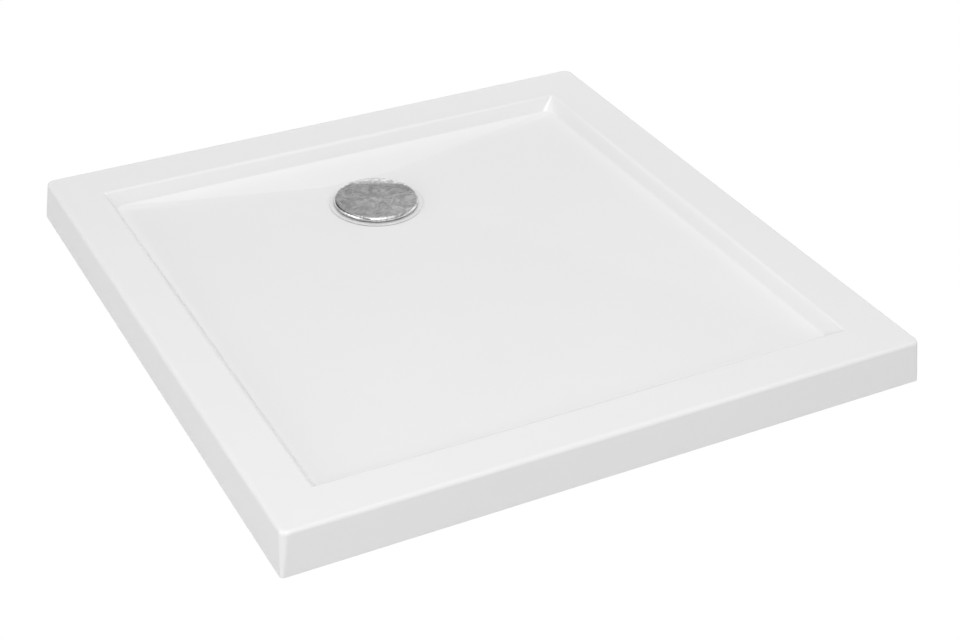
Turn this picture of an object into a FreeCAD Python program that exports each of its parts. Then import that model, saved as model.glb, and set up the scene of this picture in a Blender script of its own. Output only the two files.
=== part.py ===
import FreeCAD, Part
import math
import os

# Square acrylic shower tray on levelling feet, with its waste trap. Millimetres.
# Origin: middle of the tray in plan, at the level of the foot soles. +Z up, +X right,
# -Y to the front, where one steps in. The wall sides of the tray are +X and +Y.

V = FreeCAD.Vector
UP = V(0, 0, 1)
ACROSS = V(1, 0, 0)
TO_BACK = V(0, 1, 0)

# Outer form
tray_width = 800.0
tray_length = 800.0
tray_height = 53.0
skirt_draft = 4.0
skirt_corner_radius_top = 9.5
skirt_corner_radius_low = 4.0
rim_edge_radius = 5.5

# Basin
rim_left = 58.0
rim_right = 65.0
rim_front = 56.5
rim_back = 65.0
opening_corner_radius = 1.5
rim_inner_radius = 8.0
wall_inset = 10.3
foot_depth_front = 15.5
foot_depth_back = 17.0
foot_corner_radius = 14.0
cove_radius = 3.0
waste_field_depth = 26.0
waste_field_margin = 3.5
waste_field_corner_radius = 25.0

# Sheet and backing
acrylic_thickness = 3.2
laminate_thickness = 2.5
laminate_trim = 3.0
least_corner_radius = 1.0

# Waste in plan, and the dish that it sits in
waste_from_right = 340.4
waste_from_back = 130.3
dish_radius = 62.5
dish_draft = 6.5
dish_depth = 3.5
dish_lip_radius = 10.0
waste_hole_radius = 45.0

# Board, bedding and battens
board_thickness = 12.0
board_margin = 26.0
board_cutout_gap = 7.0
batten_width = 38.0
batten_height = 20.0
batten_gap = 0.5
batten_end_gap = 2.0

# Waste ring and its gaskets
upper_gasket_thickness = 1.0
lower_gasket_thickness = 2.0
gasket_hole_clearance = 1.0
ring_flange_thickness = 2.0
ring_dish_gap = 0.7
ring_tube_wall = 2.5
ring_hole_clearance = 0.5
ring_ledge_drop = 6.5
ring_ledge_thickness = 2.0
ring_ledge_bore_radius = 31.0
ring_thread_length = 9.0
gasket_edge_inset = 1.0
screw_clearance = 0.1
thread_clearance = 0.05

# Trap
trap_flange_radius = 58.0
trap_flange_thickness = 3.0
trap_bowl_radius = 52.0
trap_wall = 2.5
trap_height = 62.8
trap_neck_length = 10.0
weir_drop = 19.8
weir_side_margin = 2.5
chamber_width = 48.0
chamber_reach = 34.0
outlet_radius = 20.0
outlet_wall = 2.0
outlet_length = 42.0
outlet_collar_width = 2.5
outlet_collar_thickness = 2.5
joint_gap = 0.1

# Dip tube, its seal and its handle
tube_bore_clearance = 0.5
tube_wall = 2.5
tube_flange_width = 3.0
tube_flange_thickness = 2.0
tube_end_gap = 9.0
seal_section_radius = 1.0
seal_squeeze_gap = 0.05
seal_groove_clearance = 0.05
handle_width = 6.0
handle_height = 4.0
handle_drop = 6.0
handle_seat_depth = 1.0

# Cover
cover_radius = 55.4
cover_height = 5.0
cover_crown = 1.0
cover_edge_radius = 3.0
cover_sheet = 1.2
cover_rise = 3.0
carrier_thickness = 2.0
carrier_edge_gap = 1.2
carrier_plate_gap = 0.2
leg_count = 4
leg_arc_degrees = 24.0
leg_thickness = 3.0
leg_side_clearance = 0.3

# Feet
foot_from_board_edge = 36.0
bracket_size = 60.0
bracket_thickness = 3.0
bracket_corner_radius = 5.0
bracket_boss_radius = 9.0
bracket_boss_length = 12.0
bracket_screw_spacing = 44.0
bracket_screw_radius = 2.0
bracket_screw_bite = 9.0
bracket_head_radius = 4.0
bracket_head_height = 2.2
bracket_head_edge_radius = 1.4
stud_radius = 5.0
stud_top_room = 3.3
stud_hole_clearance = 1.5
stud_foot = 4.0
lock_nut_across_flats = 17.0
lock_nut_height = 6.0
stud_hex_across_flats = 14.0
stud_hex_height = 6.0
pad_radius = 22.0
pad_rim_height = 5.0
pad_height = 12.0
pad_neck_radius = 9.0
trap_floor_gap = 3.0

# Clearance between pieces that move on each other, at rest on their seats
seat_gap = 0.3

# Tools that cut a surface run past it by this much
overrun = 10.0


def dish_radius_at(height):
    """Radius of the dish's sloping wall, at a height above the dish's floor."""
    return dish_radius - dish_draft * (1 - height / dish_depth)


# Levels worked out from the sizes, counted up from the foot soles
backing_thickness = acrylic_thickness + laminate_thickness
dish_below_rim = waste_field_depth + dish_depth
trap_top_below_rim = dish_below_rim + backing_thickness + lower_gasket_thickness
rim_z = trap_floor_gap + trap_height + trap_top_below_rim
skirt_z = rim_z - tray_height
waste_field_z = rim_z - waste_field_depth
dish_z = rim_z - dish_below_rim
trap_top_z = rim_z - trap_top_below_rim
trap_bottom_z = trap_top_z - trap_height
board_top_z = waste_field_z - backing_thickness
board_bottom_z = board_top_z - board_thickness
ring_top_z = dish_z + upper_gasket_thickness + ring_flange_thickness
ledge_top_z = dish_z - ring_ledge_drop
ledge_bottom_z = ledge_top_z - ring_ledge_thickness
cover_bottom_z = waste_field_z + cover_rise
cover_top_z = cover_bottom_z + cover_height
neck_bottom_z = trap_top_z - trap_neck_length
weir_z = trap_top_z - weir_drop
tube_end_z = trap_bottom_z + trap_wall + tube_end_gap
outlet_z = trap_bottom_z + outlet_collar_width + outlet_radius

# Radii worked out from the waste hole, from the outside in
ring_tube_radius = waste_hole_radius - ring_hole_clearance
ring_bore_radius = ring_tube_radius - ring_tube_wall
ring_flange_low_radius = dish_radius_at(upper_gasket_thickness) - ring_dish_gap
ring_flange_top_radius = dish_radius_at(upper_gasket_thickness + ring_flange_thickness) - ring_dish_gap
dip_tube_radius = ring_ledge_bore_radius - tube_bore_clearance
seal_centre_radius = ring_ledge_bore_radius - seal_squeeze_gap - seal_section_radius
seal_z = ledge_top_z - ring_ledge_thickness / 2

# Foot levels worked out from the board down
bracket_bottom_z = board_bottom_z - bracket_thickness
lock_nut_top_z = bracket_bottom_z - bracket_boss_length

# Basin in plan
opening_left = -tray_width / 2 + skirt_draft + rim_left
opening_right = tray_width / 2 - skirt_draft - rim_right
opening_front = -tray_length / 2 + skirt_draft + rim_front
opening_back = tray_length / 2 - skirt_draft - rim_back
waste_x = opening_right - waste_from_right
waste_y = opening_back - waste_from_back
waste_field_half = dish_radius + waste_field_margin
board_cutout_half = dish_radius + backing_thickness + board_cutout_gap
chamber_back_y = waste_y + trap_bowl_radius + chamber_reach
basin_x = (opening_left + opening_right) / 2
basin_y = (opening_front + opening_back) / 2
board_inset = wall_inset + board_margin
mean_foot_depth = (foot_depth_front + foot_depth_back) / 2
wall_angle = math.atan(wall_inset / mean_foot_depth)
foot_tilt_degrees = math.degrees(
    math.atan((foot_depth_back - foot_depth_front) / (opening_back - opening_front - 2 * wall_inset))
)


def rounded_outline(left, right, front, back, radius, height):
    """Closed wire of a rectangle with round corners, level, at one height."""
    diagonal = radius * (1 - math.sqrt(0.5))
    points = [
        (V(right, front + radius, height), V(right, back - radius, height)),
        (V(right - radius, back, height), V(left + radius, back, height)),
        (V(left, back - radius, height), V(left, front + radius, height)),
        (V(left + radius, front, height), V(right - radius, front, height)),
    ]
    corners = [
        V(right - diagonal, back - diagonal, height),
        V(left + diagonal, back - diagonal, height),
        V(left + diagonal, front + diagonal, height),
        V(right - diagonal, front + diagonal, height),
    ]
    edges = []
    for index, (start, end) in enumerate(points):
        next_start = points[(index + 1) % len(points)][0]
        edges.append(Part.LineSegment(start, end).toShape())
        edges.append(Part.Arc(end, corners[index], next_start).toShape())
    return Part.Wire(edges)


def box(left, right, front, back, bottom, top):
    return Part.makeBox(right - left, back - front, top - bottom, V(left, front, bottom))


def cylinder(x, y, bottom, top, radius):
    return Part.makeCylinder(radius, top - bottom, V(x, y, bottom))


def hexagon(x, y, bottom, top, across_flats):
    corner_radius = across_flats / math.sqrt(3)
    corners = []
    for index in range(7):
        angle = math.radians(60 * index)
        corners.append(V(x + corner_radius * math.cos(angle), y + corner_radius * math.sin(angle), bottom))
    return Part.Face(Part.makePolygon(corners)).extrude(V(0, 0, top - bottom))


def turned(profile, x, y):
    """Solid of revolution about a vertical axis; the profile is (radius, height) corners."""
    corners = []
    for radius, height in profile:
        corners.append(V(x + radius, y, height))
    corners.append(corners[0])
    return Part.Face(Part.makePolygon(corners)).revolve(V(x, y, 0), UP, 360)


def edges_at(shape, height, left, right, front, back):
    """Edges that lie level at one height, inside a rectangle in plan."""
    tolerance = 0.01
    found = []
    for edge in shape.Edges:
        bounds = edge.BoundBox
        level = abs(bounds.ZMin - height) < tolerance and abs(bounds.ZMax - height) < tolerance
        inside_x = bounds.XMin > left - tolerance and bounds.XMax < right + tolerance
        inside_y = bounds.YMin > front - tolerance and bounds.YMax < back + tolerance
        if level and inside_x and inside_y:
            found.append(edge)
    return found


def foot_edges(shape):
    """Edges where the basin's walls meet its floor: they lie in one plane that tilts a little."""
    tolerance = 0.02
    normal = V(0, math.sin(math.radians(foot_tilt_degrees)), math.cos(math.radians(foot_tilt_degrees)))
    pivot = V(basin_x, basin_y, rim_z - mean_foot_depth)
    found = []
    for edge in shape.Edges:
        samples = edge.discretize(5)
        if max(abs((point - pivot).dot(normal)) for point in samples) < tolerance:
            found.append(edge)
    return found


def outer_block(depth_in):
    """The tray's outer form as a block, with every face moved in by depth_in."""
    draft = skirt_draft * (tray_height - depth_in) / tray_height
    half_x = tray_width / 2 - depth_in
    half_y = tray_length / 2 - depth_in
    radius_low = max(skirt_corner_radius_low - depth_in, least_corner_radius)
    radius_top = max(skirt_corner_radius_top - depth_in, least_corner_radius)
    top = rim_z - depth_in
    low = rounded_outline(-half_x, half_x, -half_y, half_y, radius_low, skirt_z)
    high = rounded_outline(
        -half_x + draft, half_x - draft, -half_y + draft, half_y - draft, radius_top, top
    )
    block = Part.makeLoft([low, high], True, True)
    edge_radius = rim_edge_radius - depth_in
    if edge_radius > 0:
        block = block.makeFillet(edge_radius, edges_at(block, top, -half_x, half_x, -half_y, half_y))
    return block


def basin_tool(depth_in):
    """The hollow of the basin, with every face moved out into the material by depth_in."""
    at_rim = depth_in / math.cos(wall_angle)
    at_foot = depth_in * math.tan(math.pi / 4 - wall_angle / 2) - wall_inset
    rim_radius = opening_corner_radius + depth_in
    above = rounded_outline(
        opening_left - at_rim, opening_right + at_rim, opening_front - at_rim, opening_back + at_rim,
        rim_radius, rim_z + overrun
    )
    rim = above.copy()
    rim.translate(V(0, 0, -overrun))
    foot_z = rim_z - mean_foot_depth - depth_in
    foot = rounded_outline(
        opening_left - at_foot, opening_right + at_foot, opening_front - at_foot, opening_back + at_foot,
        foot_corner_radius + depth_in, foot_z
    )
    foot.rotate(V(basin_x, basin_y, foot_z), ACROSS, -foot_tilt_degrees)
    field = rounded_outline(
        waste_x - waste_field_half, waste_x + waste_field_half,
        waste_y - waste_field_half, waste_y + waste_field_half,
        waste_field_corner_radius, waste_field_z - depth_in
    )
    hollow = Part.makeLoft([above, rim, foot, field], True, True)
    return hollow


def sharp_dish(depth_in):
    """The hollow of the dish as a plain cone, moved out into the material by depth_in."""
    return Part.makeCone(
        dish_radius - dish_draft + depth_in, dish_radius + depth_in, dish_depth,
        V(waste_x, waste_y, dish_z - depth_in)
    )


def rounded_dish():
    """The hollow of the dish, with a lip that rounds over onto the level field about it."""
    slope = math.atan(dish_depth / dish_draft)
    reach = dish_lip_radius * math.tan(slope / 2)
    lip_x = waste_x + dish_radius + reach
    lip_centre_z = waste_field_z - dish_lip_radius

    def on_lip(angle):
        across = dish_lip_radius * math.sin(angle)
        return V(lip_x - across, waste_y, lip_centre_z + dish_lip_radius * math.cos(angle))

    middle = V(waste_x, waste_y, dish_z)
    floor_edge = V(waste_x + dish_radius - dish_draft, waste_y, dish_z)
    lip_low = on_lip(slope)
    lip_high = on_lip(0.0)
    above = V(waste_x, waste_y, waste_field_z)
    edges = [
        Part.LineSegment(middle, floor_edge).toShape(),
        Part.LineSegment(floor_edge, lip_low).toShape(),
        Part.Arc(lip_low, on_lip(slope / 2), lip_high).toShape(),
        Part.LineSegment(lip_high, above).toShape(),
        Part.LineSegment(above, middle).toShape(),
    ]
    return Part.Face(Part.Wire(edges)).revolve(middle, UP, 360)


def tray_body(depth_in):
    """The tray as a solid block with its basin, every face moved into the material by depth_in."""
    hollow = basin_tool(depth_in).fuse(sharp_dish(depth_in)).removeSplitter()
    return outer_block(depth_in).cut(hollow)


def rounded_tray_body():
    """The outside of the tray, with the radii that a hand or foot meets."""
    hollow = basin_tool(0.0).fuse(rounded_dish())
    body = outer_block(0.0).cut(hollow)
    rim_edges = edges_at(body, rim_z, opening_left, opening_right, opening_front, opening_back)
    body = body.makeFillet(rim_inner_radius, rim_edges)
    return body.makeFillet(cove_radius, foot_edges(body))


def waste_hole():
    return cylinder(waste_x, waste_y, trap_top_z, waste_field_z, waste_hole_radius)


def make_acrylic_shell():
    shell = rounded_tray_body().cut(tray_body(acrylic_thickness))
    return shell.cut(waste_hole())


def make_laminate_backing():
    skin = tray_body(acrylic_thickness).cut(tray_body(backing_thickness))
    half_x = tray_width / 2
    half_y = tray_length / 2
    trim = box(-half_x, half_x, -half_y, half_y, skirt_z, skirt_z + laminate_trim)
    return skin.cut(trim).cut(waste_hole())


def foot_places():
    """Where the feet stand: one in each corner of the board and one in its middle."""
    inset = board_inset + foot_from_board_edge
    left = opening_left + inset
    right = opening_right - inset
    front = opening_front + inset
    back = opening_back - inset
    return {
        "front_left": (left, front),
        "front_right": (right, front),
        "back_left": (left, back),
        "back_right": (right, back),
        "centre": (basin_x, basin_y),
    }


def bracket_screw_places():
    places = []
    half = bracket_screw_spacing / 2
    for x, y in foot_places().values():
        for side_x in (-half, half):
            for side_y in (-half, half):
                places.append((x + side_x, y + side_y))
    return places


def board_outline_box(bottom, top):
    return box(
        opening_left + board_inset, opening_right - board_inset,
        opening_front + board_inset, opening_back - board_inset, bottom, top
    )


def cutout_box(bottom, top):
    """Room of the square cut-out round the waste, between two heights."""
    left = waste_x - board_cutout_half
    right = waste_x + board_cutout_half
    front = waste_y - board_cutout_half
    back = waste_y + board_cutout_half
    return box(left, right, front, back, bottom, top)


def make_base_board():
    board = board_outline_box(board_bottom_z, board_top_z)
    board = board.cut(cutout_box(board_bottom_z, board_top_z))
    holes = []
    for x, y in foot_places().values():
        holes.append(cylinder(x, y, board_bottom_z, board_top_z, stud_radius + stud_hole_clearance))
    bite_top = board_bottom_z + bracket_screw_bite + thread_clearance
    for x, y in bracket_screw_places():
        holes.append(cylinder(x, y, board_bottom_z, bite_top, bracket_screw_radius + thread_clearance))
    return board.cut(Part.makeCompound(holes))


def make_bedding_resin():
    """Filler on top of the board, up to the back of the sloping floor."""
    bed = board_outline_box(board_top_z, rim_z - foot_depth_front)
    bed = bed.common(tray_body(backing_thickness))
    return bed.cut(cutout_box(board_top_z, rim_z))


def make_rim_battens():
    """Four battens under the rim, just inside the skirt."""
    top = rim_z - backing_thickness
    bottom = top - batten_height
    out_x = tray_width / 2 - skirt_draft - backing_thickness - batten_gap
    out_y = tray_length / 2 - skirt_draft - backing_thickness - batten_gap
    in_x = out_x - batten_width
    in_y = out_y - batten_width
    long_end = out_x - batten_end_gap
    side_end = in_y - batten_gap
    return {
        "rim_batten_front": box(-long_end, long_end, -out_y, -in_y, bottom, top),
        "rim_batten_back": box(-long_end, long_end, in_y, out_y, bottom, top),
        "rim_batten_left": box(-out_x, -in_x, -side_end, side_end, bottom, top),
        "rim_batten_right": box(in_x, out_x, -side_end, side_end, bottom, top),
    }


def make_foot_bracket(x, y):
    """Plate screwed to the board, with a threaded boss for the stud."""
    half = bracket_size / 2
    plate = box(x - half, x + half, y - half, y + half, bracket_bottom_z, board_bottom_z)
    plate = plate.makeFillet(bracket_corner_radius, [edge for edge in plate.Edges if is_upright(edge)])
    bracket = plate.fuse(cylinder(x, y, lock_nut_top_z, bracket_bottom_z, bracket_boss_radius))
    bore_radius = stud_radius + thread_clearance
    bracket = bracket.cut(cylinder(x, y, lock_nut_top_z, board_bottom_z, bore_radius))
    half_spacing = bracket_screw_spacing / 2
    hole_radius = bracket_screw_radius + screw_clearance
    for side_x in (-half_spacing, half_spacing):
        for side_y in (-half_spacing, half_spacing):
            bracket = bracket.cut(
                cylinder(x + side_x, y + side_y, bracket_bottom_z, board_bottom_z, hole_radius)
            )
    return bracket


def is_upright(edge):
    bounds = edge.BoundBox
    return bounds.ZLength > bounds.XLength + bounds.YLength


def make_bracket_screws():
    """Pan-head wood screws, driven up through the bracket plates into the board."""
    screws = []
    head_bottom = bracket_bottom_z - bracket_head_height
    for x, y in bracket_screw_places():
        head = cylinder(x, y, head_bottom, bracket_bottom_z, bracket_head_radius)
        rim = edges_at(
            head, head_bottom, x - bracket_head_radius, x + bracket_head_radius,
            y - bracket_head_radius, y + bracket_head_radius
        )
        head = head.makeFillet(bracket_head_edge_radius, rim)
        shank = cylinder(x, y, bracket_bottom_z, board_bottom_z + bracket_screw_bite, bracket_screw_radius)
        screws.append(head.fuse(shank))
    return Part.makeCompound(screws)


def make_lock_nuts():
    nuts = []
    bottom = lock_nut_top_z - lock_nut_height
    for x, y in foot_places().values():
        nut = hexagon(x, y, bottom, lock_nut_top_z, lock_nut_across_flats)
        nuts.append(nut.cut(cylinder(x, y, bottom, lock_nut_top_z, stud_radius + thread_clearance)))
    return Part.makeCompound(nuts)


def make_foot_stud(x, y):
    """Threaded stud; its hexagon stops against the lock nut when the foot is right in."""
    stud = cylinder(x, y, stud_foot, board_top_z - stud_top_room, stud_radius)
    hex_top = lock_nut_top_z - lock_nut_height - seat_gap
    return stud.fuse(hexagon(x, y, hex_top - stud_hex_height, hex_top, stud_hex_across_flats))


def make_foot_pad(x, y):
    profile = [
        (0, 0),
        (pad_radius, 0),
        (pad_radius, pad_rim_height),
        (pad_neck_radius, pad_height),
        (0, pad_height),
    ]
    pad = turned(profile, x, y)
    return pad.cut(cylinder(x, y, stud_foot, pad_height, stud_radius + thread_clearance))


def make_waste_ring():
    """Flange that fills the dish, on a gasket, and a tube with a ledge that screws into the trap's neck."""
    flange_bottom = dish_z + upper_gasket_thickness
    thread_end = trap_top_z - ring_thread_length
    profile = [
        (ring_bore_radius, ring_top_z),
        (ring_flange_top_radius, ring_top_z),
        (ring_flange_low_radius, flange_bottom),
        (ring_tube_radius, flange_bottom),
        (ring_tube_radius, thread_end),
        (ring_bore_radius, thread_end),
        (ring_bore_radius, ledge_bottom_z),
        (ring_ledge_bore_radius, ledge_bottom_z),
        (ring_ledge_bore_radius, ledge_top_z),
        (ring_bore_radius, ledge_top_z),
    ]
    return turned(profile, waste_x, waste_y)


def flat_ring(inner_radius, outer_radius, bottom, top):
    outer = cylinder(waste_x, waste_y, bottom, top, outer_radius)
    return outer.cut(cylinder(waste_x, waste_y, bottom, top, inner_radius))


def make_upper_gasket():
    inner = waste_hole_radius + gasket_hole_clearance
    outer = dish_radius - dish_draft - gasket_edge_inset
    return flat_ring(inner, outer, dish_z, dish_z + upper_gasket_thickness)


def make_lower_gasket():
    inner = waste_hole_radius + gasket_hole_clearance
    outer = trap_flange_radius - gasket_edge_inset
    return flat_ring(inner, outer, trap_top_z, trap_top_z + lower_gasket_thickness)


def make_trap_bowl():
    """Cup with a threaded neck and a flange; a window at the back is the weir that sets the water level."""
    floor = trap_bottom_z + trap_wall
    bore = trap_bowl_radius - trap_wall
    neck_bore = ring_tube_radius + thread_clearance
    flange_bottom = trap_top_z - trap_flange_thickness
    profile = [
        (0, trap_bottom_z),
        (trap_bowl_radius, trap_bottom_z),
        (trap_bowl_radius, flange_bottom),
        (trap_flange_radius, flange_bottom),
        (trap_flange_radius, trap_top_z),
        (neck_bore, trap_top_z),
        (neck_bore, neck_bottom_z),
        (bore, neck_bottom_z),
        (bore, floor),
        (0, floor),
    ]
    half_width = chamber_width / 2 - trap_wall - weir_side_margin
    window = box(
        waste_x - half_width, waste_x + half_width, waste_y, waste_y + trap_bowl_radius,
        weir_z, neck_bottom_z
    )
    return turned(profile, waste_x, waste_y).cut(window)


def make_outlet_chamber():
    """Housing joined to the back of the bowl; it takes the water that runs over the weir."""
    half_width = chamber_width / 2
    left = waste_x - half_width
    right = waste_x + half_width
    inner_back = chamber_back_y - trap_wall
    chamber = box(left, right, waste_y, chamber_back_y, trap_bottom_z, neck_bottom_z + trap_wall)
    hollow = box(
        left + trap_wall, right - trap_wall, waste_y, inner_back, trap_bottom_z + trap_wall, neck_bottom_z
    )
    bowl_radius = trap_bowl_radius + joint_gap
    bowl = cylinder(waste_x, waste_y, trap_bottom_z, trap_top_z, bowl_radius)
    hole_radius = outlet_radius + joint_gap
    hole = Part.makeCylinder(hole_radius, trap_wall, V(waste_x, inner_back, outlet_z), TO_BACK)
    return chamber.cut(hollow).cut(bowl).cut(hole)


def make_outlet_spigot():
    """Tube through the back wall of the chamber, with a collar that is welded to it."""
    inner_end = V(waste_x, chamber_back_y - trap_wall, outlet_z)
    collar_start = V(waste_x, chamber_back_y + joint_gap, outlet_z)
    length = trap_wall + joint_gap + outlet_collar_thickness + outlet_length
    tube = Part.makeCylinder(outlet_radius, length, inner_end, TO_BACK)
    collar_radius = outlet_radius + outlet_collar_width
    collar = Part.makeCylinder(collar_radius, outlet_collar_thickness, collar_start, TO_BACK)
    bore = Part.makeCylinder(outlet_radius - outlet_wall, length, inner_end, TO_BACK)
    return tube.fuse(collar).cut(bore).removeSplitter()


def handle_box(clearance):
    """The handle's bar across the dip tube, grown by a clearance on every side."""
    reach = dip_tube_radius - tube_wall + handle_seat_depth + clearance
    half_width = handle_width / 2 + clearance
    top = ledge_top_z + seat_gap + tube_flange_thickness - handle_drop
    return box(
        waste_x - reach, waste_x + reach, waste_y - half_width, waste_y + half_width,
        top - handle_height - clearance, top + clearance
    )


def make_dip_tube():
    """Open tube whose lower end stands in the trap's water, with a flange and seats for the handle."""
    inner = dip_tube_radius - tube_wall
    flange_bottom = ledge_top_z + seat_gap
    flange_top = flange_bottom + tube_flange_thickness
    profile = [
        (inner, tube_end_z),
        (dip_tube_radius, tube_end_z),
        (dip_tube_radius, flange_bottom),
        (dip_tube_radius + tube_flange_width, flange_bottom),
        (dip_tube_radius + tube_flange_width, flange_top),
        (inner, flange_top),
    ]
    groove = Part.makeTorus(
        seal_centre_radius, seal_section_radius + seal_groove_clearance, V(waste_x, waste_y, seal_z)
    )
    return turned(profile, waste_x, waste_y).cut(groove).cut(handle_box(joint_gap))


def make_dip_tube_handle():
    return handle_box(0.0)


def make_dip_tube_seal():
    return Part.makeTorus(seal_centre_radius, seal_section_radius, V(waste_x, waste_y, seal_z))


def cover_form(depth_in):
    """The cover's outside as a solid, slightly domed on top, with every face moved in by depth_in."""
    radius = cover_radius - depth_in
    dome_radius = (cover_radius ** 2 + cover_crown ** 2) / (2 * cover_crown)
    dome_centre = V(waste_x, waste_y, cover_top_z - dome_radius)
    ball = Part.makeSphere(dome_radius - depth_in, dome_centre, ACROSS)
    form = cylinder(waste_x, waste_y, cover_bottom_z, cover_top_z, radius).common(ball)
    edge_z = dome_centre.z + math.sqrt((dome_radius - depth_in) ** 2 - radius ** 2)
    edge = edges_at(
        form, edge_z, waste_x - radius, waste_x + radius, waste_y - radius, waste_y + radius
    )
    return form.makeFillet(cover_edge_radius - depth_in, edge)


def make_cover_plate():
    """Pressed plate with a rolled edge and a short upright rim, open underneath."""
    return cover_form(0.0).cut(cover_form(cover_sheet))


def make_cover_carrier():
    """Plate under the cover, with legs that stand on the ring's ledge inside its tube."""
    top = cover_top_z - cover_crown - cover_sheet - carrier_plate_gap
    bottom = top - carrier_thickness
    plate_radius = cover_radius - cover_sheet - carrier_edge_gap
    leg_outer = ring_bore_radius - leg_side_clearance
    leg_inner = leg_outer - leg_thickness
    leg_bottom = ledge_top_z + seat_gap
    profile = [
        (leg_inner, leg_bottom),
        (leg_outer, leg_bottom),
        (leg_outer, bottom),
        (leg_inner, bottom),
    ]
    carrier = cylinder(waste_x, waste_y, bottom, top, plate_radius)
    for index in range(leg_count):
        corners = [V(waste_x + radius, waste_y, height) for radius, height in profile]
        corners.append(corners[0])
        face = Part.Face(Part.makePolygon(corners))
        face.rotate(V(waste_x, waste_y, 0), UP, index * 360 / leg_count - leg_arc_degrees / 2)
        carrier = carrier.fuse(face.revolve(V(waste_x, waste_y, 0), UP, leg_arc_degrees))
    return carrier.removeSplitter()


def make_parts():
    parts = {
        "acrylic_shell": make_acrylic_shell(),
        "laminate_backing": make_laminate_backing(),
        "bedding_resin": make_bedding_resin(),
        "base_board": make_base_board(),
        "bracket_screws": make_bracket_screws(),
        "lock_nuts": make_lock_nuts(),
        "waste_ring": make_waste_ring(),
        "upper_gasket": make_upper_gasket(),
        "lower_gasket": make_lower_gasket(),
        "trap_bowl": make_trap_bowl(),
        "outlet_chamber": make_outlet_chamber(),
        "outlet_spigot": make_outlet_spigot(),
        "dip_tube": make_dip_tube(),
        "dip_tube_handle": make_dip_tube_handle(),
        "dip_tube_seal": make_dip_tube_seal(),
        "cover_plate": make_cover_plate(),
        "cover_carrier": make_cover_carrier(),
    }
    parts.update(make_rim_battens())
    for place, (x, y) in foot_places().items():
        parts["foot_bracket_" + place] = make_foot_bracket(x, y)
        parts["foot_stud_" + place] = make_foot_stud(x, y)
        parts["foot_pad_" + place] = make_foot_pad(x, y)
    return parts


os.makedirs("parts", exist_ok=True)
for name, shape in make_parts().items():
    shape.exportStep("parts/" + name + ".step")
    print(name, "solids", len(shape.Solids), "valid", shape.isValid(), "volume", round(shape.Volume))
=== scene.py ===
import math

import bmesh
import bpy
from mathutils import Matrix, Vector


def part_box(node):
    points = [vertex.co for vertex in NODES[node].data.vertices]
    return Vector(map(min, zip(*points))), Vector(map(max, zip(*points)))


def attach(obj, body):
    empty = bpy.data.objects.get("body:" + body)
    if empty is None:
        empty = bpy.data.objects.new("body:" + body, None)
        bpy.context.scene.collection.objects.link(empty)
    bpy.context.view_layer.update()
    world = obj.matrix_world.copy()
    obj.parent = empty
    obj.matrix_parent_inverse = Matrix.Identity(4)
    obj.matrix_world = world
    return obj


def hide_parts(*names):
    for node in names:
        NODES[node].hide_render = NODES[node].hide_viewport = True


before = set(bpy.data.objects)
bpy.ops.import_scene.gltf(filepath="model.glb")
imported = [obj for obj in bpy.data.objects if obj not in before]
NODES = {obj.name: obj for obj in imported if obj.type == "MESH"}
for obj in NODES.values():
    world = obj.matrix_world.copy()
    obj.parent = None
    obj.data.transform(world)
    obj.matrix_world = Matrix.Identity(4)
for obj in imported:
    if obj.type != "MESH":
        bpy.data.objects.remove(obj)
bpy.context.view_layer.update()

# Photograph's frame, and where its perspective is centred in it, in pixels
IMAGE_WIDTH = 960
IMAGE_HEIGHT = 640
CENTRE_PX = (390.59, 292.37)
FOCAL_PX = 1826.26
SENSOR_MM = 36.0

# Camera, in the tray's frame: metres and degrees
CAMERA_PLACE = Vector((-0.90777, -1.68721, 1.26764))
CAMERA_YAW = 25.988
CAMERA_PITCH = 32.485
CAMERA_ROLL = 0.326

SHELL_LOW, SHELL_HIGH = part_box("acrylic_shell")
COVER_BOX_LOW, COVER_BOX_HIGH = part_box("cover_plate")

# Finished floor: places in metres, then its own glow, its grey in bounced light and to the camera,
# and how much of what the camera sees is plain white
FINISHED_FLOOR_GAP = 0.0002
FLOOR_REACH = 6.0
FLOOR_HOLE_INSET = 0.004
FLOOR_GLOW = 0.167
FLOOR_BOUNCED_GREY = 0.5
FLOOR_SEEN_GREY = 0.9
FLOOR_WHITE = 0.9

# Cover: sizes in millimetres, heights above the skirt's lower edge
MM = 0.001
COVER_RADIUS = (COVER_BOX_HIGH.x - COVER_BOX_LOW.x) / 2 / MM
COVER_LOW = (COVER_BOX_LOW.z - SHELL_LOW.z) / MM
COVER_HIGH = (COVER_BOX_HIGH.z - SHELL_LOW.z) / MM
COVER_CROWN = 1.0
COVER_EDGE_RADIUS = 3.0
COVER_SHEET = 1.2

# Shell, in the same measure; the waste stands on the cover's axis
SKIRT_HALF = SHELL_HIGH.x / MM
SKIRT_DRAFT = 4.0
SKIRT_CORNER_LOW = 4.0
SKIRT_CORNER_TOP = 9.5
SHELL_HEIGHT = (SHELL_HIGH.z - SHELL_LOW.z) / MM
SKIRT_EDGE_SHARE = 0.006
RIM_EDGE_RADIUS = 5.5
# The basin's opening: left, right, front and back
OPENING = (-338.0, 331.0, -339.5, 331.0)
OPENING_CORNER = 1.5
RIM_INNER_RADIUS = 8.0
WALL_INSET = 10.3
FOOT_DEPTH_FRONT = 15.5
FOOT_DEPTH_BACK = 17.0
FOOT_CORNER = 14.0
COVE_RADIUS = 3.0
# Away from the walls the floor lies this much lower than a straight run from cove to field
FLOOR_CURL_DEPTH = 1.8
FLOOR_CURL_REACH = 9.0
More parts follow.
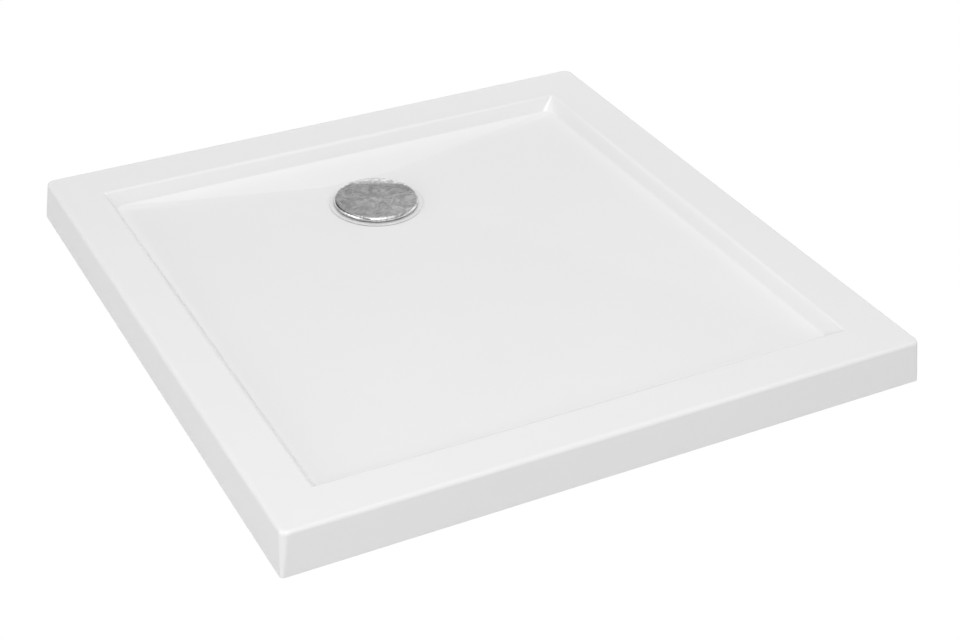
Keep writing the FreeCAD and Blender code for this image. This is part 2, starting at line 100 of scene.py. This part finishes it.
# Distances from the cove at which the curl gets a ring
FLOOR_CURL_STEPS = (1.5, 3.0, 5.0, 7.5, 10.5, 14.0, 18.0, 23.0, 30.0, 42.0)
WASTE = (COVER_BOX_LOW.x / MM + COVER_RADIUS, COVER_BOX_LOW.y / MM + COVER_RADIUS)
DISH_RADIUS = 62.5
DISH_DRAFT = 6.5
DISH_DEPTH = 3.5
DISH_LIP_RADIUS = 10.0
DISH_COVE_RADIUS = 2.0
FIELD_DEPTH = 26.0
FIELD_MARGIN = 3.5
FIELD_HALF = DISH_RADIUS + FIELD_MARGIN
FIELD_CORNER = 25.0
WASTE_HOLE_RADIUS = 45.0
SHELL_THICKNESS = 3.2

# How finely the shell is divided: round its outline, and from ring to ring
CORNER_STEPS = 10
SIDE_STEPS = 24
SKIRT_STEPS = 8
RIM_STEPS = 4
WALL_STEPS = 3
FLOOR_STEPS = 20
SEAT_STEPS = 3
ARC_STEPS = 10
DISH_COVE_STEPS = 4

# How finely the cover is divided
COVER_SECTORS = 192
CROWN_STEPS = 24
BEVEL_STEPS = 14

# Points nearer than these are one, in metres
WELD_REACH = 0.000001
SAME_PLACE = 0.00001


# Material helpers

def new_material(name):
    """A new material on a principled shader, with its nodes, its links and that shader."""
    material = bpy.data.materials.new(name)
    material.use_nodes = True
    nodes = material.node_tree.nodes
    return material, nodes, material.node_tree.links, nodes["Principled BSDF"]


def object_noise(nodes, links, scale, detail, stretch=(1, 1, 1), roughness=0.5, distortion=0.0):
    """Noise fixed to the object, in metres."""
    place = nodes.new("ShaderNodeTexCoord")
    mapping = nodes.new("ShaderNodeMapping")
    mapping.inputs["Scale"].default_value = stretch
    noise = nodes.new("ShaderNodeTexNoise")
    noise.inputs["Scale"].default_value = scale
    noise.inputs["Detail"].default_value = detail
    noise.inputs["Roughness"].default_value = roughness
    noise.inputs["Distortion"].default_value = distortion
    links.new(place.outputs["Object"], mapping.inputs["Vector"])
    links.new(mapping.outputs["Vector"], noise.inputs["Vector"])
    return noise.outputs["Fac"]


def ramp(nodes, links, value, stops):
    """Colour ramp; stops are (place, colour)."""
    node = nodes.new("ShaderNodeValToRGB")
    elements = node.color_ramp.elements
    while len(elements) < len(stops):
        elements.new(0.5)
    for element, (place, colour) in zip(elements, stops):
        element.position = place
        element.color = (*colour, 1.0)
    links.new(value, node.inputs["Fac"])
    return node.outputs["Color"]


def span(nodes, links, value, low, high):
    """The value, 0 to 1, spread over low to high."""
    node = nodes.new("ShaderNodeMapRange")
    node.inputs["To Min"].default_value = low
    node.inputs["To Max"].default_value = high
    links.new(value, node.inputs["Value"])
    return node.outputs["Result"]


def bump(nodes, links, value, depth, shader):
    """Relief of that depth in metres on the shader's normal."""
    node = nodes.new("ShaderNodeBump")
    node.inputs["Strength"].default_value = 1.0
    node.inputs["Distance"].default_value = depth
    links.new(value, node.inputs["Height"])
    links.new(node.outputs["Normal"], shader.inputs["Normal"])


def grey(level):
    return (level, level, level)


def math_node(nodes, links, operation, first, second):
    """One arithmetic step on two values, each a number or a socket."""
    node = nodes.new("ShaderNodeMath")
    node.operation = operation
    for socket, value in zip(node.inputs, (first, second)):
        if isinstance(value, (int, float)):
            socket.default_value = value
        else:
            links.new(value, socket)
    return node.outputs[0]


def threshold(nodes, links, value, edge, softness, low, high):
    """The value cut at an edge into low below it and high above it, softly."""
    node = nodes.new("ShaderNodeMapRange")
    node.inputs["From Min"].default_value = edge - softness / 2
    node.inputs["From Max"].default_value = edge + softness / 2
    node.inputs["To Min"].default_value = low
    node.inputs["To Max"].default_value = high
    links.new(value, node.inputs["Value"])
    return node.outputs["Result"]


# Materials

def acrylic():
    material, nodes, links, shader = new_material("white_acrylic")
    tint = object_noise(nodes, links, scale=9.0, detail=2.0)
    colour = ramp(nodes, links, tint, [(0.3, grey(0.805)), (0.7, grey(0.812))])
    links.new(colour, shader.inputs["Base Color"])
    gloss = object_noise(nodes, links, scale=60.0, detail=3.0)
    links.new(span(nodes, links, gloss, low=0.10, high=0.17), shader.inputs["Roughness"])
    bump(nodes, links, object_noise(nodes, links, scale=220.0, detail=1.0), depth=0.00001, shader=shader)
    shader.inputs["IOR"].default_value = 1.49
    return material


def chrome():
    """Polished chrome with sharp-edged films of dried water, wipes through them and a few specks."""
    material, nodes, links, shader = new_material("polished_chrome")
    shader.inputs["Metallic"].default_value = 1.0
    films = object_noise(nodes, links, scale=62.0, detail=5.0, distortion=2.5)
    wipes = object_noise(nodes, links, scale=60.0, detail=3.0, stretch=(0.6, 2.0, 1), roughness=0.6,
                         distortion=3.0)
    specks = object_noise(nodes, links, scale=420.0, detail=2.0)
    clouds = object_noise(nodes, links, scale=26.0, detail=1.0, distortion=0.8)
    # Each layer: its noise, the edge in it, and the factor on the grey below and above the edge
    layers = (
        (films, 0.42, 1.16, 1.0),
        (films, 0.49, 1.06, 1.0),
        (films, 0.56, 1.0, 0.84),
        (wipes, 0.60, 1.0, 0.78),
        (specks, 0.70, 1.0, 0.55),
    )
    level = span(nodes, links, clouds, low=0.54, high=0.98)
    for value, edge, below, above in layers:
        kept = threshold(nodes, links, value, edge, softness=0.01, low=below, high=above)
        level = math_node(nodes, links, "MULTIPLY", level, kept)
    colour = ramp(nodes, links, level, [(0.0, grey(0.0)), (1.0, (0.98, 0.98, 0.985))])
    links.new(colour, shader.inputs["Base Color"])
    haze = threshold(nodes, links, films, edge=0.50, softness=0.2, low=0.02, high=0.07)
    links.new(haze, shader.inputs["Roughness"])
    return material


def moulded_plastic(name, colour, roughness):
    """Plastic with a fine moulded grain."""
    material, nodes, links, shader = new_material(name)
    light = tuple(min(1.0, channel * 1.05) for channel in colour)
    dark = tuple(channel * 0.93 for channel in colour)
    tint = object_noise(nodes, links, scale=40.0, detail=3.0)
    links.new(ramp(nodes, links, tint, [(0.3, dark), (0.7, light)]), shader.inputs["Base Color"])
    grain = object_noise(nodes, links, scale=900.0, detail=2.0)
    links.new(span(nodes, links, grain, roughness * 0.8, roughness * 1.25), shader.inputs["Roughness"])
    bump(nodes, links, grain, depth=0.00004, shader=shader)
    return material


def laminate():
    """Sprayed glass-fibre resin: short fibres at random angles under a yellowish skin."""
    material, nodes, links, shader = new_material("glass_fibre_laminate")
    fibres = object_noise(nodes, links, scale=60.0, detail=6.0, stretch=(1, 9, 3), roughness=0.7)
    colour = ramp(nodes, links, fibres, [(0.35, (0.62, 0.58, 0.46)), (0.65, (0.83, 0.80, 0.70))])
    links.new(colour, shader.inputs["Base Color"])
    shader.inputs["Roughness"].default_value = 0.45
    bump(nodes, links, fibres, depth=0.0008, shader=shader)
    return material


def particle_board():
    """Pressed wood chips, each a cell with a darker edge."""
    material, nodes, links, shader = new_material("raw_particle_board")
    place = nodes.new("ShaderNodeTexCoord")
    chips = nodes.new("ShaderNodeTexVoronoi")
    chips.inputs["Scale"].default_value = 260.0
    links.new(place.outputs["Object"], chips.inputs["Vector"])
    middle = chips.outputs["Distance"]
    colour = ramp(nodes, links, middle, [(0.0, (0.62, 0.45, 0.27)), (0.8, (0.40, 0.27, 0.15))])
    links.new(colour, shader.inputs["Base Color"])
    shader.inputs["Roughness"].default_value = 0.85
    bump(nodes, links, middle, depth=0.0003, shader=shader)
    return material


def softwood():
    material, nodes, links, shader = new_material("planed_softwood")
    grain = object_noise(nodes, links, scale=40.0, detail=5.0, stretch=(0.15, 0.15, 3), roughness=0.6)
    colour = ramp(nodes, links, grain, [(0.35, (0.55, 0.36, 0.19)), (0.65, (0.78, 0.60, 0.38))])
    links.new(colour, shader.inputs["Base Color"])
    shader.inputs["Roughness"].default_value = 0.65
    bump(nodes, links, grain, depth=0.0002, shader=shader)
    return material


def zinc():
    material, nodes, links, shader = new_material("zinc_plated_steel")
    shader.inputs["Metallic"].default_value = 1.0
    spangle = object_noise(nodes, links, scale=300.0, detail=3.0)
    colour = ramp(nodes, links, spangle, [(0.3, (0.50, 0.51, 0.53)), (0.7, (0.72, 0.73, 0.74))])
    links.new(colour, shader.inputs["Base Color"])
    links.new(span(nodes, links, spangle, low=0.28, high=0.45), shader.inputs["Roughness"])
    return material


def rubber():
    material, nodes, links, shader = new_material("black_rubber")
    dust = object_noise(nodes, links, scale=500.0, detail=3.0)
    colour = ramp(nodes, links, dust, [(0.3, grey(0.012)), (0.7, grey(0.03))])
    links.new(colour, shader.inputs["Base Color"])
    shader.inputs["Roughness"].default_value = 0.7
    bump(nodes, links, dust, depth=0.0001, shader=shader)
    return material


def dress(material, *names):
    """Gives the frame's nodes of these names that material alone."""
    for name in names:
        data = NODES[name].data
        data.materials.clear()
        data.materials.append(material)


def starting_with(prefix):
    return [name for name in NODES if name.startswith(prefix)]


WHITE_ACRYLIC = acrylic()
POLISHED_CHROME = chrome()
CAST_RESIN = moulded_plastic("cast_resin", colour=(0.62, 0.58, 0.46), roughness=0.5)
BLACK_PLASTIC = moulded_plastic("black_plastic", colour=(0.03, 0.03, 0.032), roughness=0.5)
WHITE_PLASTIC = moulded_plastic("white_plastic", colour=(0.77, 0.77, 0.765), roughness=0.3)
GREY_PLASTIC = moulded_plastic("grey_plastic", colour=(0.25, 0.26, 0.28), roughness=0.4)

dress(WHITE_ACRYLIC, "acrylic_shell")
dress(POLISHED_CHROME, "cover_plate")
dress(laminate(), "laminate_backing")
dress(CAST_RESIN, "bedding_resin")
dress(particle_board(), "base_board")
dress(softwood(), *starting_with("rim_batten"))
dress(zinc(), "bracket_screws", "lock_nuts", *starting_with("foot_bracket"), *starting_with("foot_stud"))
dress(BLACK_PLASTIC, *starting_with("foot_pad"))
dress(WHITE_PLASTIC, "waste_ring", "trap_bowl", "outlet_chamber", "outlet_spigot", "cover_carrier")
dress(GREY_PLASTIC, "dip_tube", "dip_tube_handle")
dress(rubber(), "upper_gasket", "lower_gasket", "dip_tube_seal")


# Shell of the tray, as one smooth sheet

def outline(left, right, front, back, radius):
    """Points round a rectangle with round corners, from its right side's back end, turning left."""
    points = []
    corners = [(right - radius, back - radius), (left + radius, back - radius),
               (left + radius, front + radius), (right - radius, front + radius)]
    for quarter, (x, y) in enumerate(corners):
        for step in range(CORNER_STEPS + 1):
            angle = math.radians(90 * (quarter + step / CORNER_STEPS))
            points.append(Vector((x + radius * math.cos(angle), y + radius * math.sin(angle))))
        angle = math.radians(90 * (quarter + 1))
        next_x, next_y = corners[(quarter + 1) % 4]
        end = points[-1]
        start = Vector((next_x + radius * math.cos(angle), next_y + radius * math.sin(angle)))
        for step in range(1, SIDE_STEPS):
            points.append(end.lerp(start, step / SIDE_STEPS))
    return points


def square(half, radius):
    return outline(-half, half, -half, half, radius)


def at_height(points, height):
    return [Vector((point.x, point.y, height)) for point in points]


def round_waste(radius, angle, height):
    """The point at that radius and angle about the waste's axis."""
    return Vector((WASTE[0] + radius * math.cos(angle), WASTE[1] + radius * math.sin(angle), height))


def circle_like(ring, radius, height):
    """A circle about the waste, each point in the direction of the same point of the ring."""
    points = []
    for point in ring:
        points.append(round_waste(radius, math.atan2(point.y - WASTE[1], point.x - WASTE[0]), height))
    return points


def rounded(before, corner, after, radius, steps):
    """Points of the arc that rounds off the corner between two straight runs."""
    first = (corner - before).normalized()
    second = (after - corner).normalized()
    turn = first.angle(second)
    reach = radius * math.tan(turn / 2)
    start = corner - first * reach
    side = (second - first * first.dot(second)).normalized()
    points = []
    for step in range(steps + 1):
        angle = turn * step / steps
        points.append(start + first * radius * math.sin(angle) + side * radius * (1 - math.cos(angle)))
    return points


def rounded_rings(before, corner, after, radius, steps=ARC_STEPS):
    """Rings of the arcs that round off a ring of corners."""
    arcs = [rounded(a, b, c, radius, steps) for a, b, c in zip(before, corner, after)]
    return [[arc[step] for arc in arcs] for step in range(steps + 1)]


def between(first, second, steps):
    """The rings strictly between two rings."""
    return [[a.lerp(b, step / steps) for a, b in zip(first, second)] for step in range(1, steps)]


def curled_floor(start, field, foot_box):
    """Rings of the floor between the cove and the field; it curls up a little towards the walls."""
    left, right, front, back = foot_box

    def clear_of_walls(point):
        return (point.x - left, right - point.x, point.y - front, back - point.y)

    def share_at(distance):
        """How far along to the field each point is, when it is that far from every wall."""
        shares = []
        for a, b in zip(start, field):
            sides = zip(clear_of_walls(a), clear_of_walls(b))
            passed = [(distance - near) / (far - near) for near, far in sides if near < distance]
            shares.append(max([0.0] + passed))
        return shares

    def ring(shares):
        points = []
        for a, b, share in zip(start, field, shares):
            point = a.lerp(b, share)
            reach = (min(clear_of_walls(point)) - min(clear_of_walls(a))) / FLOOR_CURL_REACH
            point.z -= FLOOR_CURL_DEPTH * (1 - math.exp(-reach)) * (1 - share)
            points.append(point)
        return points

    first = min(min(clear_of_walls(a)) for a in start)
    rings = [ring(share_at(first + distance)) for distance in FLOOR_CURL_STEPS]
    last = share_at(first + FLOOR_CURL_STEPS[-1])
    for step in range(1, FLOOR_STEPS):
        rings.append(ring([share + (1 - share) * step / FLOOR_STEPS for share in last]))
    return rings


def foot_of_walls(foot_box):
    """Outline where the walls would meet the floor, lower towards the back."""
    front, back = foot_box[2:]
    fall = (FOOT_DEPTH_BACK - FOOT_DEPTH_FRONT) / (back - front)
    points = []
    for point in outline(*foot_box, FOOT_CORNER):
        depth = FOOT_DEPTH_FRONT + fall * (point.y - front)
        points.append(Vector((point.x, point.y, SHELL_HEIGHT - depth)))
    return points


def shell_rings():
    """Rings of the shell's outside, from the skirt's lower edge over rim and floor to the waste's hole."""
    low = at_height(square(SKIRT_HALF, SKIRT_CORNER_LOW), 0)
    high = at_height(square(SKIRT_HALF - SKIRT_DRAFT, SKIRT_CORNER_TOP), SHELL_HEIGHT)
    left, right, front, back = OPENING
    edge = at_height(outline(left, right, front, back, OPENING_CORNER), SHELL_HEIGHT)
    foot_box = (left + WALL_INSET, right - WALL_INSET, front + WALL_INSET, back - WALL_INSET)
    foot = foot_of_walls(foot_box)

    field_height = SHELL_HEIGHT - FIELD_DEPTH
    field_box = (WASTE[0] - FIELD_HALF, WASTE[0] + FIELD_HALF, WASTE[1] - FIELD_HALF, WASTE[1] + FIELD_HALF)
    field = at_height(outline(*field_box, FIELD_CORNER), field_height)
    lip = circle_like(field, DISH_RADIUS, field_height)
    dish_height = field_height - DISH_DEPTH
    dish = circle_like(field, DISH_RADIUS - DISH_DRAFT, dish_height)
    hole = circle_like(field, WASTE_HOLE_RADIUS, dish_height)

    rim_outer = rounded_rings(low, high, edge, RIM_EDGE_RADIUS)
    rim_inner = rounded_rings(high, edge, foot, RIM_INNER_RADIUS)
    cove = rounded_rings(edge, foot, field, COVE_RADIUS)
    dish_lip = rounded_rings(field, lip, dish, DISH_LIP_RADIUS)
    dish_cove = rounded_rings(lip, dish, hole, DISH_COVE_RADIUS, DISH_COVE_STEPS)

    # A ring close above the skirt's lower edge keeps the skirt's shading straight down to it
    edge_above = [a.lerp(b, SKIRT_EDGE_SHARE) for a, b in zip(low, rim_outer[0])]
    rings = [low, edge_above, *between(low, rim_outer[0], SKIRT_STEPS), *rim_outer]
    rings += between(rim_outer[-1], rim_inner[0], RIM_STEPS) + rim_inner
    rings += between(rim_inner[-1], cove[0], WALL_STEPS) + cove
    rings += curled_floor(cove[-1], field, foot_box) + [field]
    rings += dish_lip + dish_cove
    rings += between(dish_cove[-1], hole, SEAT_STEPS) + [hole]
    return rings


def smooth_piece(name, mesh_builder, material):
    """An object with smooth faces, from what the builder puts into a bmesh."""
    work = bmesh.new()
    mesh_builder(work)
    mesh = bpy.data.meshes.new(name)
    for face in work.faces:
        face.smooth = True
    work.to_mesh(mesh)
    work.free()
    mesh.materials.append(material)
    piece = bpy.data.objects.new(name, mesh)
    bpy.context.collection.objects.link(piece)
    return piece


def join_rings(work, rings):
    """Faces between each ring and the next. Heights are counted from the skirt's lower edge."""
    lift = Vector((0, 0, SHELL_LOW.z))
    rows = [[work.verts.new(point * MM + lift) for point in ring] for ring in rings]
    for first, second in zip(rows, rows[1:]):
        for index in range(len(first)):
            following = (index + 1) % len(first)
            work.faces.new((first[index], first[following], second[following], second[index]))


def make_shell(material):
    def build(work):
        join_rings(work, shell_rings())

    shell = smooth_piece("tray_shell", build, material)
    sheet = shell.modifiers.new("sheet", "SOLIDIFY")
    sheet.thickness = SHELL_THICKNESS * MM
    sheet.offset = -1.0
    sheet.use_even_offset = True
    normals = shell.modifiers.new("normals", "WEIGHTED_NORMAL")
    normals.keep_sharp = True
    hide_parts("acrylic_shell")
    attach(shell, "tray")


# Waste cover

def cover_side(depth_in):
    """Radii and heights of the plate's section at that depth in its sheet, from the axis to the rim."""
    dome_radius = (COVER_RADIUS ** 2 + COVER_CROWN ** 2) / (2 * COVER_CROWN)
    radius = COVER_RADIUS - depth_in
    bend = COVER_EDGE_RADIUS - depth_in
    ball = dome_radius - depth_in
    centre = COVER_HIGH - dome_radius
    bend_reach = radius - bend
    bend_height = centre + math.sqrt((ball - bend) ** 2 - bend_reach ** 2)
    meet = math.atan2(bend_height - centre, bend_reach)
    points = []
    for step in range(CROWN_STEPS + 1):
        reach = ball * math.cos(meet) * step / CROWN_STEPS
        points.append((reach, centre + math.sqrt(ball ** 2 - reach ** 2)))
    for step in range(1, BEVEL_STEPS + 1):
        angle = meet * (1 - step / BEVEL_STEPS)
        points.append((bend_reach + bend * math.cos(angle), bend_height + bend * math.sin(angle)))
    points.append((radius, COVER_LOW))
    return points


def sharpen_lower_rim(work):
    """Marks the two circles that bound the plate's narrow lower face as sharp."""
    for edge in work.edges:
        near, far = (math.hypot(v.co.x - WASTE[0] * MM, v.co.y - WASTE[1] * MM) for v in edge.verts)
        low = all(abs(v.co.z - SHELL_LOW.z - COVER_LOW * MM) < SAME_PLACE for v in edge.verts)
        if low and abs(near - far) < SAME_PLACE:
            edge.smooth = False


def make_cover(material):
    """Pressed plate, turned about the waste's axis."""
    section = cover_side(0.0) + cover_side(COVER_SHEET)[::-1]
    angles = [math.radians(360 * sector / COVER_SECTORS) for sector in range(COVER_SECTORS)]

    def build(work):
        rings = [[round_waste(radius, angle, height) for angle in angles] for radius, height in section]
        join_rings(work, rings)
        bmesh.ops.remove_doubles(work, verts=work.verts, dist=WELD_REACH)
        bmesh.ops.recalc_face_normals(work, faces=work.faces)
        sharpen_lower_rim(work)

    cover = smooth_piece("waste_cover", build, material)
    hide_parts("cover_plate")
    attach(cover, "cover")


# Stage: the finished floor that the skirt stands on, open inside the skirt

def floor_material():
    """White to the camera with a trace of the shadow kept, grey to bounced light, and clear from below."""
    material, nodes, links, shader = new_material("white_floor")
    shader.inputs["Roughness"].default_value = 0.9
    seen = nodes.new("ShaderNodeLightPath").outputs["Is Camera Ray"]
    shade = span(nodes, links, seen, FLOOR_BOUNCED_GREY, FLOOR_SEEN_GREY)
    links.new(shade, shader.inputs["Base Color"])
    shader.inputs["Emission Color"].default_value = (1, 1, 1, 1)
    shader.inputs["Emission Strength"].default_value = FLOOR_GLOW
    glow = nodes.new("ShaderNodeEmission")
    mix = nodes.new("ShaderNodeMixShader")
    links.new(math_node(nodes, links, "MULTIPLY", seen, FLOOR_WHITE), mix.inputs[0])
    links.new(shader.outputs[0], mix.inputs[1])
    links.new(glow.outputs[0], mix.inputs[2])
    behind = nodes.new("ShaderNodeNewGeometry")
    clear = nodes.new("ShaderNodeBsdfTransparent")
    sided = nodes.new("ShaderNodeMixShader")
    links.new(behind.outputs["Backfacing"], sided.inputs[0])
    links.new(mix.outputs[0], sided.inputs[1])
    links.new(clear.outputs[0], sided.inputs[2])
    links.new(sided.outputs[0], nodes["Material Output"].inputs["Surface"])
    return material


def make_floor():
    """A wide square with a square hole just inside the skirt, through which the feet reach lower."""
    height = SHELL_LOW.z - FINISHED_FLOOR_GAP
    inner = SHELL_HIGH.x - FLOOR_HOLE_INSET
    corners = [(-1, -1), (1, -1), (1, 1), (-1, 1)]
    points = [(x * half, y * half, height) for half in (FLOOR_REACH, inner) for x, y in corners]
    faces = [(i, (i + 1) % 4, 4 + (i + 1) % 4, 4 + i) for i in range(4)]
    mesh = bpy.data.meshes.new("finished_floor")
    mesh.from_pydata(points, [], faces)
    mesh.materials.append(floor_material())
    floor = bpy.data.objects.new("finished_floor", mesh)
    bpy.context.collection.objects.link(floor)


# Soft lights round the tray: azimuth counted from +Y towards +X and elevation, in degrees, then
# how narrow the light is, and its strength. The names only say where a light stands. Most rows
# are a least squares match to the photograph's brightness, rounded and merged; only the left
# window and the front lamp were set after it.
SKY_LIGHTS = {
    "left window": (270, 8, 8, 2.9),
    "right wall": (90, 8, 8, 1.0),
    "front wall": (180, 40, 8, 1.0),
    "front lamp": (202, 62, 60, 8.6),
    "right corner": (135, 40, 8, 0.4),
    "back wall": (30, 40, 8, 0.5),
    "back lamp": (30, 66, 20, 0.8),
    "ceiling": (0, 90, 8, 0.9),
}

# White sweep behind the tray, in degrees; its light ends sharply at its top
SWEEP_AZIMUTH = 26.0
SWEEP_MIDDLE = 20.0
SWEEP_TOP = 26.2
SWEEP_TOP_SOFTNESS = 0.3
SWEEP_SHARPNESS = 6.0
SWEEP_STRENGTH = 0.58

# Soft box at the front left: place in metres, side in metres, and power in watts, from that match
SOFT_BOX_PLACE = (-0.9, -1.3, 2.2)
SOFT_BOX_SIDE = 0.7
SOFT_BOX_POWER = 10.7


def make_soft_box():
    data = bpy.data.lights.new("soft_box", "AREA")
    data.size = SOFT_BOX_SIDE
    data.energy = SOFT_BOX_POWER
    lamp = bpy.data.objects.new("soft_box", data)
    lamp.location = SOFT_BOX_PLACE
    lamp.rotation_euler = (-Vector(SOFT_BOX_PLACE)).to_track_quat("-Z", "Y").to_euler()
    lamp.visible_camera = False
    bpy.context.collection.objects.link(lamp)


def direction(azimuth, elevation):
    around, above = math.radians(azimuth), math.radians(elevation)
    return (math.sin(around) * math.cos(above), math.cos(around) * math.cos(above), math.sin(above))


def lobe(nodes, links, looked, azimuth, elevation, sharpness, strength):
    """Strength that falls off softly round one direction of the sky."""
    dot = nodes.new("ShaderNodeVectorMath")
    dot.operation = "DOT_PRODUCT"
    dot.inputs[1].default_value = direction(azimuth, elevation)
    links.new(looked, dot.inputs[0])
    lit = math_node(nodes, links, "MAXIMUM", dot.outputs["Value"], 0.0)
    shaped = math_node(nodes, links, "POWER", lit, sharpness)
    return math_node(nodes, links, "MULTIPLY", shaped, strength)


def sky_strength(nodes, links):
    """Sum of the soft lights and the sweep, for the direction looked in."""
    looked = nodes.new("ShaderNodeTexCoord").outputs["Generated"]
    height = nodes.new("ShaderNodeSeparateXYZ")
    links.new(looked, height.inputs[0])
    top = math.sin(math.radians(SWEEP_TOP))
    fade = math.sin(math.radians(SWEEP_TOP + SWEEP_TOP_SOFTNESS)) - top
    sweep = lobe(nodes, links, looked, SWEEP_AZIMUTH, SWEEP_MIDDLE, SWEEP_SHARPNESS, SWEEP_STRENGTH)
    below_top = threshold(nodes, links, height.outputs["Z"], top, fade, 1.0, 0.0)
    total = math_node(nodes, links, "MULTIPLY", sweep, below_top)
    for azimuth, elevation, sharpness, strength in SKY_LIGHTS.values():
        part = lobe(nodes, links, looked, azimuth, elevation, sharpness, strength)
        total = math_node(nodes, links, "ADD", total, part)
    return total


def make_world():
    """The lights of the sky, with plain white behind the tray for the camera alone."""
    world = bpy.data.worlds.new("studio")
    bpy.context.scene.world = world
    world.use_nodes = True
    nodes = world.node_tree.nodes
    links = world.node_tree.links
    light = nodes["Background"]
    light.inputs["Color"].default_value = (1, 1, 1, 1)
    links.new(sky_strength(nodes, links), light.inputs["Strength"])
    backdrop = nodes.new("ShaderNodeBackground")
    backdrop.inputs["Color"].default_value = (1, 1, 1, 1)
    backdrop.inputs["Strength"].default_value = 1.0
    seen = nodes.new("ShaderNodeLightPath")
    mix = nodes.new("ShaderNodeMixShader")
    links.new(seen.outputs["Is Camera Ray"], mix.inputs[0])
    links.new(light.outputs[0], mix.inputs[1])
    links.new(backdrop.outputs[0], mix.inputs[2])
    links.new(mix.outputs[0], nodes["World Output"].inputs["Surface"])


# Camera

def make_camera():
    """Camera from which the tray's edges fall where they do in the photograph."""
    yaw, pitch, roll = (math.radians(angle) for angle in (CAMERA_YAW, CAMERA_PITCH, CAMERA_ROLL))
    ahead = Vector((math.sin(yaw) * math.cos(pitch), math.cos(yaw) * math.cos(pitch), -math.sin(pitch)))
    level = Vector((math.cos(yaw), -math.sin(yaw), 0.0))
    upright = level.cross(ahead)
    right = math.cos(roll) * level + math.sin(roll) * upright
    up = math.cos(roll) * upright - math.sin(roll) * level
    data = bpy.data.cameras.new("camera")
    data.sensor_width = SENSOR_MM
    data.lens = FOCAL_PX / IMAGE_WIDTH * SENSOR_MM
    data.shift_x = (IMAGE_WIDTH / 2 - CENTRE_PX[0]) / IMAGE_WIDTH
    data.shift_y = (CENTRE_PX[1] - IMAGE_HEIGHT / 2) / IMAGE_WIDTH
    camera = bpy.data.objects.new("camera", data)
    turn = Matrix((right, up, -ahead)).transposed().to_4x4()
    turn.translation = CAMERA_PLACE
    camera.matrix_world = turn
    bpy.context.collection.objects.link(camera)
    bpy.context.scene.camera = camera


make_shell(WHITE_ACRYLIC)
make_cover(POLISHED_CHROME)
make_floor()
make_world()
make_soft_box()
make_camera()

bpy.context.scene.view_settings.view_transform = "Standard"
